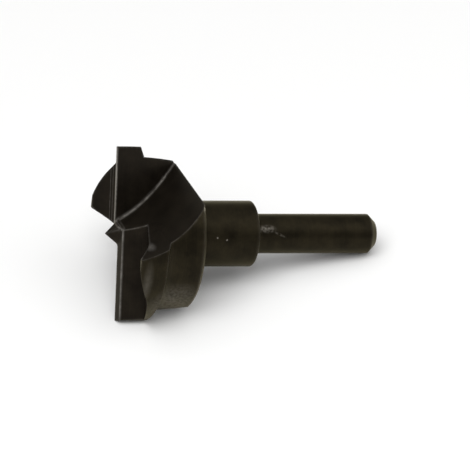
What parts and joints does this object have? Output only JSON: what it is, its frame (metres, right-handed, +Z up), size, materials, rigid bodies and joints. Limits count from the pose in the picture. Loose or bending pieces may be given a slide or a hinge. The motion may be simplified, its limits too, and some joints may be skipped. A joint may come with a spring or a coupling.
{
  "type": "hinge boring bit",
  "caption": "One-piece steel bit that bores flat-bottomed holes for cup hinges: cutting head with point, teeth and gullets, stepped collar and round shank.",
  "frame": {"origin": "on the surface that the bit lies on, under the middle of its bounding box", "axes": "+X runs along the bit from its cutting head to its shank, seen from above; +Z up; the bit lies on one gullet's mouth and its shank end, so its axis slopes down 12.0 degrees towards the shank"},
  "size_m": [0.0572, 0.035, 0.03],
  "materials": {
    "steel": "black oxide, satin, bare at the ground edges"
  },
  "bodies": {
    "root": {"hinge_boring_bit": "steel"}
  },
  "joints": []
}
